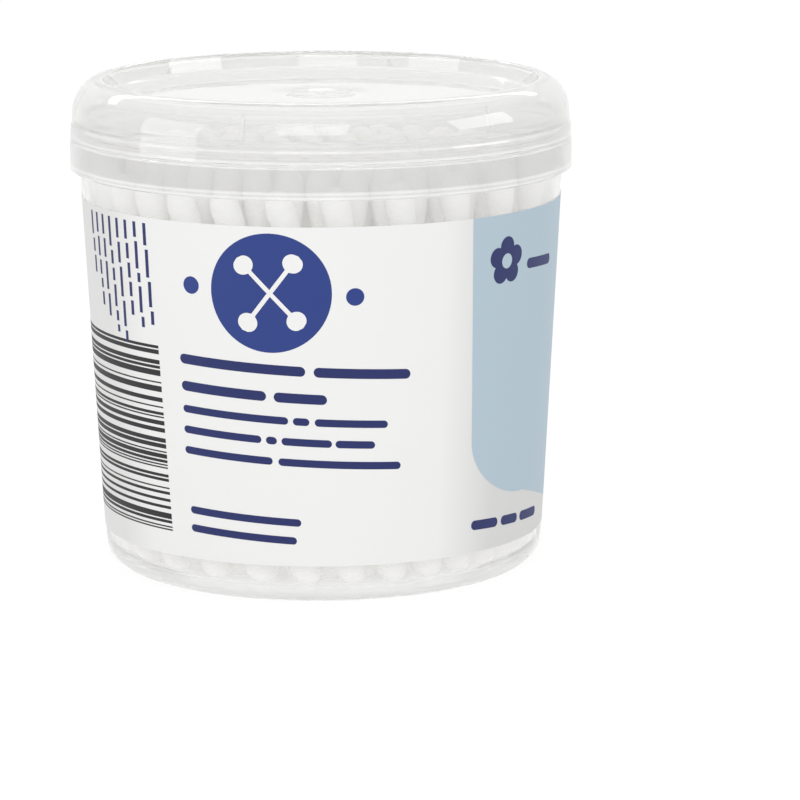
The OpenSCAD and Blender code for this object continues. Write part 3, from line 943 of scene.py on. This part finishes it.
# %% Cotton and paper for the swabs
ring_mm, wander_mm, wander_share = 0.571, 1.111, 0.45
waves_per_unit = 20 / (2 * pi)
cotton_high, cotton_relief, cotton_shade = 0.3, 0.3, 0.95
cotton_hex, cotton_rough = "#efeeeb", 0.95


def wound_cotton(name, glow):
    """White fibre: wavy rings along the tip, from a texture map that runs 1 per mm. A wave
    texture has waves_per_unit waves in each unit, which sets its scale for a ring's width.
    The glow is painted light, for the light that loose fibre passes on and that reaches it through
    the pot."""
    look, tree, out = material(name)
    coords = add(tree, "ShaderNodeTexCoord")
    wander = add(tree, "ShaderNodeTexNoise", Vector=coords.outputs["UV"],
                 Scale=1 / wander_mm, Detail=3.0)
    rings = add(tree, "ShaderNodeTexWave", {"bands_direction": "Y"}, Vector=coords.outputs["UV"],
                Scale=1 / (waves_per_unit * ring_mm), Distortion=6.0, Detail=3.0, Detail_Scale=1.5)
    mixed = add(tree, "ShaderNodeMix", {"data_type": "FLOAT"}, Factor=wander_share,
                i2=rings.outputs["Fac"], i3=wander.outputs["Fac"])
    bump = add(tree, "ShaderNodeBump", Strength=cotton_relief, Distance=cotton_high * MM,
               Height=mixed.outputs[0])
    shade = add(tree, "ShaderNodeMapRange", Value=mixed.outputs[0], To_Min=cotton_shade, To_Max=1.0)
    tone = add(tree, "ShaderNodeMix", {"data_type": "RGBA", "blend_type": "MULTIPLY"}, Factor=1.0,
               i6=(*linear(cotton_hex), 1), i7=shade.outputs["Result"])
    fibre = add(tree, "ShaderNodeBsdfPrincipled", Base_Color=tone.outputs[2], Roughness=cotton_rough,
                Sheen_Weight=0.2, Sheen_Roughness=0.5, Specular_IOR_Level=0.1,
                Emission_Color=white, Emission_Strength=glow, Normal=bump.outputs["Normal"])
    tree.links.new(fibre.outputs["BSDF"], out.inputs["Surface"])
    return look


# Painted glow: the upper tips emit a little, the lower ones over the table more.
upper_cotton = wound_cotton("wound_bleached_cotton", 0.03)
lower_cotton = wound_cotton("wound_bleached_cotton_near_table", 0.10)
stick_paper = printed_paper("rolled_stick_paper", "#efeee9", 0.04)
print("swab finishes:", [m.name for m in (upper_cotton, lower_cotton, stick_paper)])

# %% [markdown]
# All tips of a row are one piece. The tip's profile is turned once, and then laid on
# every swab of the row in a single array step: each swab has two directions across it
# and one along it, and each point of the profile is a sum of those three.

# %% Wind the cotton tips and roll the sticks
def across_axes(low, high):
    """Unit vectors along each swab and two across it, from cross products."""
    along = (high - low) / np.linalg.norm(high - low, axis=1, keepdims=True)
    side = np.cross(along, [0.0, 1.0, 0.0])
    side /= np.linalg.norm(side, axis=1, keepdims=True)
    return along, side, np.cross(along, side)


def laid_on(start, along, side, other, profile, steps):
    """Start plus s times along plus r times (side cos a plus other sin a)."""
    a = np.arange(steps) * 2 * pi / steps
    ring = side[:, None, None] * np.cos(a)[:, None] + other[:, None, None] * np.sin(a)[:, None]
    return (start[:, None, None] + along[:, None, None] * profile[:, 1][:, None, None]
            + ring * profile[:, 0][:, None, None])


def turned_faces(count, rows, steps):
    """Quads of every copy of a closed turned profile, and the fans over its two ends."""
    i, j = np.meshgrid(np.arange(rows - 1), np.arange(steps), indexing="ij")
    j2 = (j + 1) % steps
    quads = np.stack([i * steps + j, (i + 1) * steps + j, (i + 1) * steps + j2, i * steps + j2], -1)
    size = rows * steps
    faces = (quads.reshape(1, -1, 4) + np.arange(count)[:, None, None] * size).reshape(-1, 4).tolist()
    low = np.arange(steps)
    high = low + (rows - 1) * steps
    for k in range(count):
        faces += [(low + k * size).tolist(), (high[::-1] + k * size).tolist()]
    return faces


def swab_piece(name, node, start, axes, profile, steps, look):
    """A row of turned shapes as one piece that stands for a node of the frame. Its texture
    map holds the millimetres round the tip, further on for each swab, and along it."""
    points = laid_on(start, *axes, profile, steps)
    count, rows = points.shape[:2]
    faces = turned_faces(count, rows, steps)
    flat = points.reshape(-1, 3)
    if volume(flat, faces) < 0:
        faces = [f[::-1] for f in faces]
    piece = mesh_piece(name, flat, faces, look, TUB, soft_angle=60)
    layer = piece.data.uv_layers.new(name="wound")
    corner_of = np.zeros(len(piece.data.loops), int)
    piece.data.loops.foreach_get("vertex_index", corner_of)
    row_of, step_of = (corner_of // steps) % rows, corner_of % steps
    swab_of = corner_of // (steps * rows)
    uv = np.stack([step_of * pi * tip_d / steps + swab_of * map_shift, profile[row_of, 1]], -1)
    layer.data.foreach_set("uv", uv.astype(np.float32).ravel())
    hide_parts(node)
    return piece


map_shift, tip_sides, stick_sides = 7.3, 14, 10
s_tip = np.concatenate([tip_widest * (1 - np.cos(np.radians([4, 22, 42, 65]))),
                        np.linspace(tip_widest, tip_len, 6)])
tip_profile = np.stack([tip_at(s_tip), s_tip], -1)
tip_profile[0] = nose_d / 2, 0.0
stick_profile = np.array([[stick_d / 2, tip_cap], [stick_d / 2, swab_len - tip_cap]])

for group, rows in row_groups.items():
    low, high = (np.vstack(ends) for ends in zip(*[row_axes(row) for row in rows]))
    along, side, other = across_axes(low, high)
    swab_piece(f"lower_tips_{group}", f"lower_cotton_tips_{group}", low, (along, side, other),
               tip_profile, tip_sides, lower_cotton)
    swab_piece(f"upper_tips_{group}", f"upper_cotton_tips_{group}", high, (-along, side, -other),
               tip_profile, tip_sides, upper_cotton)
    swab_piece(f"sticks_{group}", f"swab_sticks_{group}", low, (along, side, other),
               stick_profile, stick_sides, stick_paper)
    print(group, "has", len(low), "swabs")
